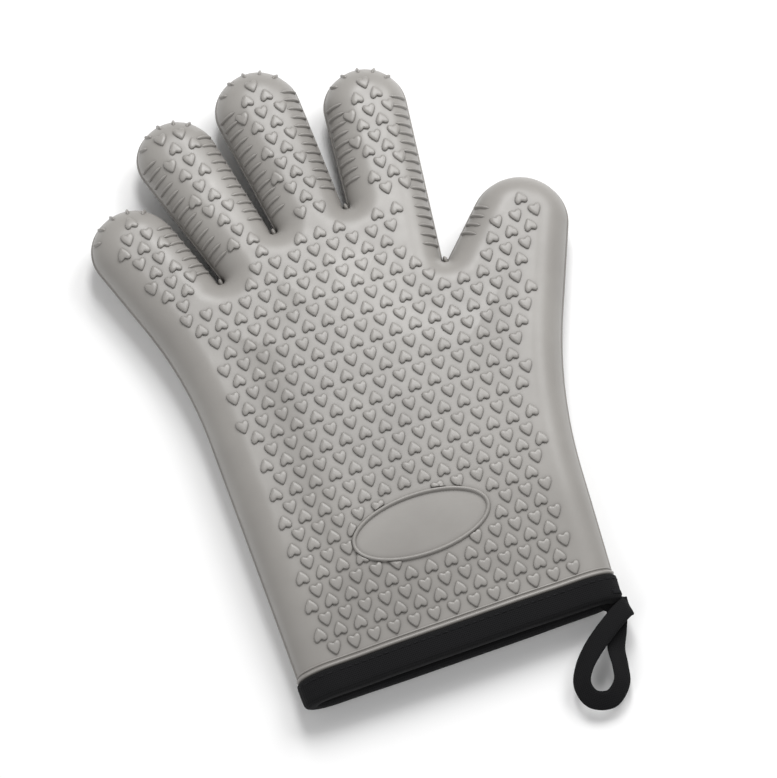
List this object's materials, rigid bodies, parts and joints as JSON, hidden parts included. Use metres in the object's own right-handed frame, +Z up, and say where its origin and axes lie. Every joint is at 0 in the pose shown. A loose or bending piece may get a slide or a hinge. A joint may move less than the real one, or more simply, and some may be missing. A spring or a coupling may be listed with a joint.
{
  "type": "silicone oven glove",
  "caption": "Five-finger heat-resistant kitchen glove with a raised heart grip pattern, fabric lining, bound cuff and a hanging loop.",
  "frame": {"origin": "on the floor under the middle of the palm, where the rest_face mount is", "axes": "+Y from the cuff to the fingertips, +X towards the thumb, +Z up out of the palm side"},
  "size_m": [0.1914, 0.3064, 0.026],
  "materials": {
    "silicone": "satin",
    "lining_fabric": "matte",
    "binding_tape": "matte",
    "sewing_thread": "matte"
  },
  "bodies": {
    "palm": {"palm_shell": "silicone", "palm_lining": "lining_fabric", "cuff_binding": "binding_tape", "binding_stitches": "sewing_thread", "loop_tab": "binding_tape", "loop_tack": "sewing_thread"},
    "knuckles": {"knuckle_shell": "silicone", "knuckle_lining": "lining_fabric"},
    "thumb": {"thumb_shell": "silicone", "thumb_lining": "lining_fabric"},
    "index_finger": {"index_shell": "silicone", "index_lining": "lining_fabric"},
    "index_tip": {"index_tip_shell": "silicone", "index_tip_lining": "lining_fabric"},
    "middle_finger": {"middle_shell": "silicone", "middle_lining": "lining_fabric"},
    "middle_tip": {"middle_tip_shell": "silicone", "middle_tip_lining": "lining_fabric"},
    "ring_finger": {"ring_shell": "silicone", "ring_lining": "lining_fabric"},
    "ring_tip": {"ring_tip_shell": "silicone", "ring_tip_lining": "lining_fabric"},
    "little_finger": {"little_shell": "silicone", "little_lining": "lining_fabric"},
    "little_tip": {"little_tip_shell": "silicone", "little_tip_lining": "lining_fabric"},
    "loop": {"hanging_loop": "binding_tape"}
  },
  "joints": [
    {"name": "knuckle_fold", "type": "hinge", "parent": "palm", "child": "knuckles", "pos_m": [-0.018, 0.0532, 0.013], "axis": [0.9962, 0.0872, 0], "range_deg": [0, 40]},
    {"name": "thumb_bend", "type": "hinge", "parent": "palm", "child": "thumb", "pos_m": [0.06901, 0.04388, 0.013], "axis": [0.8171, -0.5764, 0], "range_deg": [0, 50]},
    {"name": "index_bend", "type": "hinge", "parent": "knuckles", "child": "index_finger", "pos_m": [0.02998, 0.09375, 0.013], "axis": [0.9923, -0.1236, 0], "range_deg": [0, 50]},
    {"name": "index_tip_bend", "type": "hinge", "parent": "index_finger", "child": "index_tip", "pos_m": [0.03301, 0.11806, 0.013], "axis": [0.9923, -0.1236, 0], "range_deg": [0, 35]},
    {"name": "middle_bend", "type": "hinge", "parent": "knuckles", "child": "middle_finger", "pos_m": [-0.00636, 0.09758, 0.013], "axis": [0.998, 0.0628, 0], "range_deg": [0, 50]},
    {"name": "middle_tip_bend", "type": "hinge", "parent": "middle_finger", "child": "middle_tip", "pos_m": [-0.00806, 0.12453, 0.013], "axis": [0.998, 0.0628, 0], "range_deg": [0, 35]},
    {"name": "ring_bend", "type": "hinge", "parent": "knuckles", "child": "ring_finger", "pos_m": [-0.03923, 0.092, 0.013], "axis": [0.9744, 0.225, 0], "range_deg": [0, 50]},
    {"name": "ring_tip_bend", "type": "hinge", "parent": "ring_finger", "child": "ring_tip", "pos_m": [-0.04485, 0.11636, 0.013], "axis": [0.9744, 0.225, 0], "range_deg": [0, 35]},
    {"name": "little_bend", "type": "hinge", "parent": "knuckles", "child": "little_finger", "pos_m": [-0.07058, 0.07367, 0.013], "axis": [0.9511, 0.309, 0], "range_deg": [0, 50]},
    {"name": "little_tip_bend", "type": "hinge", "parent": "little_finger", "child": "little_tip", "pos_m": [-0.07707, 0.09365, 0.013], "axis": [0.9511, 0.309, 0], "range_deg": [0, 35]},
    {"name": "loop_swing", "type": "hinge", "parent": "palm", "child": "loop", "pos_m": [0.0581, -0.121, 0.0101], "axis": [-1, 0, 0], "range_deg": [-8, 90]}
  ],
  "couplings": [
    {"joint": "index_tip_bend", "follows": "index_bend", "ratio": 0.7},
    {"joint": "middle_tip_bend", "follows": "middle_bend", "ratio": 0.7},
    {"joint": "ring_tip_bend", "follows": "ring_bend", "ratio": 0.7},
    {"joint": "little_tip_bend", "follows": "little_bend", "ratio": 0.7}
  ]
}
